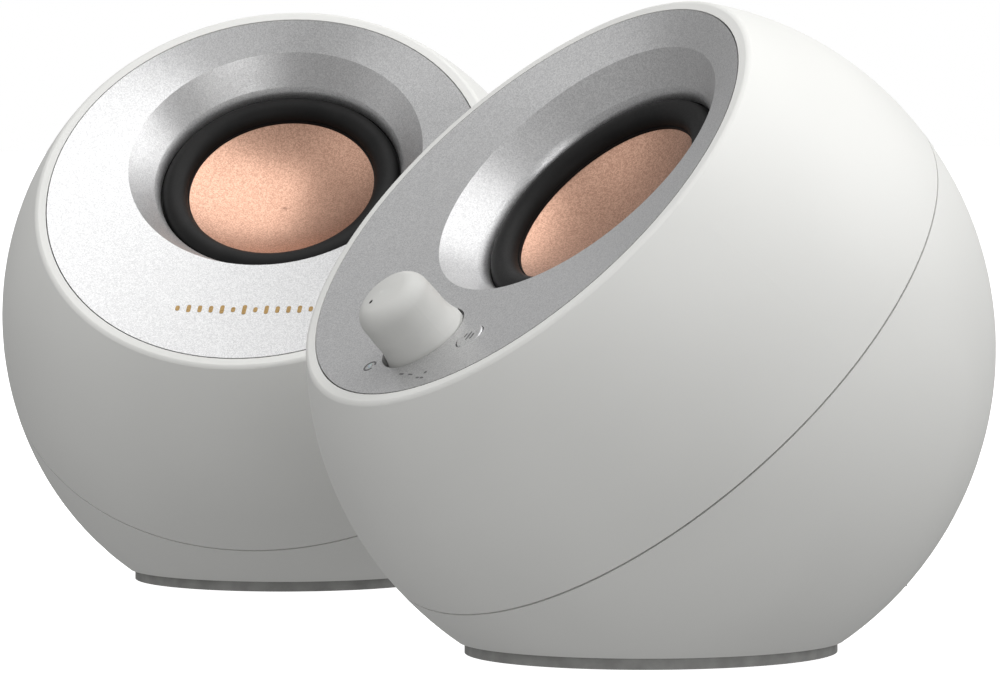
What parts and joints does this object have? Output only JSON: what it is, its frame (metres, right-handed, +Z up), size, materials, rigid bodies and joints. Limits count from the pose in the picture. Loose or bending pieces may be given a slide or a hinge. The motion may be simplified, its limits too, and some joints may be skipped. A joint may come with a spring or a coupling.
{
  "type": "desktop speakers",
  "caption": "Round desktop speakers with tilted dished faces, a metal-coned driver and a rear passive radiator in each, and a volume knob and source button on the main one.",
  "frame": {"origin": "on the desk, at the middle of the pair's outline", "axes": "+Z up; +X runs from the second speaker to the main one with the knob; -Y is the listener's side"},
  "size_m": [0.2796, 0.1189, 0.113],
  "materials": {
    "black_plastic": "matte",
    "board": "solder mask",
    "button": "satin",
    "cloth": "phenolic cloth",
    "coil": "enamelled wire",
    "copper": "copper-toned anodised dish",
    "ferrite": "sintered",
    "foam": "closed foam",
    "foot": "matte grey",
    "grey_plastic": "matte",
    "knob": "matte",
    "lens": "frosted",
    "mark": "paint fill",
    "radiator": "satin",
    "rubber": "matte",
    "shell": "fine matte texture, white",
    "silver": "silver metallic paint, fine sparkle",
    "steel": "zinc plated"
  },
  "bodies": {
    "right_speaker": {"amplifier_board": "board", "aux_jack": "black_plastic", "board_parts": "black_plastic", "board_screws": "steel", "button_switch": "black_plastic", "control_board": "board", "gain_switch": "black_plastic", "led_lens": "lens", "potentiometer": "grey_plastic", "right_base_plate": "grey_plastic", "right_base_screws": "steel", "right_driver_basket": "black_plastic", "right_driver_gasket": "foam", "right_driver_screws": "steel", "right_driver_surround": "rubber", "right_face_plate": "silver", "right_foot_ring": "foot", "right_front_shell": "shell", "right_link_gland": "rubber", "right_magnet": "ferrite", "right_pole_yoke": "steel", "right_radiator_frame": "black_plastic", "right_radiator_surround": "rubber", "right_rear_shell": "shell", "right_shell_screws": "steel", "right_socket_panel": "black_plastic", "right_spider": "cloth", "right_top_plate": "steel", "usb_gland": "rubber"},
    "left_speaker": {"left_base_plate": "grey_plastic", "left_base_screws": "steel", "left_driver_basket": "black_plastic", "left_driver_gasket": "foam", "left_driver_screws": "steel", "left_driver_surround": "rubber", "left_face_plate": "silver", "left_foot_ring": "foot", "left_front_shell": "shell", "left_link_gland": "rubber", "left_magnet": "ferrite", "left_pole_yoke": "steel", "left_radiator_frame": "black_plastic", "left_radiator_surround": "rubber", "left_rear_shell": "shell", "left_shell_screws": "steel", "left_socket_panel": "black_plastic", "left_spider": "cloth", "left_top_plate": "steel"},
    "volume_knob": {"volume_knob": "knob", "knob_pointer": "mark", "volume_shaft": "steel"},
    "source_button": {"source_button": "button"},
    "gain_slider": {"gain_slider": "grey_plastic"},
    "right_driver": {"right_driver_cone": "copper", "right_voice_coil": "coil"},
    "left_driver": {"left_driver_cone": "copper", "left_voice_coil": "coil"},
    "right_radiator": {"right_radiator_plate": "radiator"},
    "left_radiator": {"left_radiator_plate": "radiator"}
  },
  "joints": [
    {"name": "left_speaker_place", "type": "slide", "parent": "right_speaker", "child": "left_speaker", "axis": [-1, 0, 0], "range_m": [0, 0.25]},
    {"name": "volume_turn", "type": "hinge", "parent": "right_speaker", "child": "volume_knob", "pos_m": [0.08965, -0.04696, 0.05717], "axis": [-0.1057, 0.6992, -0.7071], "range_deg": [0, 300]},
    {"name": "source_button_press", "type": "slide", "parent": "right_speaker", "child": "source_button", "axis": [-0.1057, 0.6992, -0.7071], "range_m": [0, 0.0006], "stiffness_N_per_m": 1800, "springref_m": -0.0004},
    {"name": "gain_switch_slide", "type": "slide", "parent": "right_speaker", "child": "gain_slider", "axis": [0.9888, 0.1495, 0], "range_m": [0, 0.0024]},
    {"name": "right_cone_travel", "type": "slide", "parent": "right_speaker", "child": "right_driver", "axis": [0.1057, -0.6992, 0.7071], "range_m": [-0.002, 0.002], "stiffness_N_per_m": 1500, "deforming": ["right_driver_surround", "right_spider"]},
    {"name": "left_cone_travel", "type": "slide", "parent": "left_speaker", "child": "left_driver", "axis": [0.5896, -0.3903, 0.7071], "range_m": [-0.002, 0.002], "stiffness_N_per_m": 1500, "deforming": ["left_driver_surround", "left_spider"]},
    {"name": "right_radiator_travel", "type": "slide", "parent": "right_speaker", "child": "right_radiator", "axis": [-0.1495, 0.9888, 0], "range_m": [-0.0025, 0.0025], "stiffness_N_per_m": 800, "deforming": ["right_radiator_surround"]},
    {"name": "left_radiator_travel", "type": "slide", "parent": "left_speaker", "child": "left_radiator", "axis": [-0.8339, 0.5519, 0], "range_m": [-0.0025, 0.0025], "stiffness_N_per_m": 800, "deforming": ["left_radiator_surround"]}
  ]
}
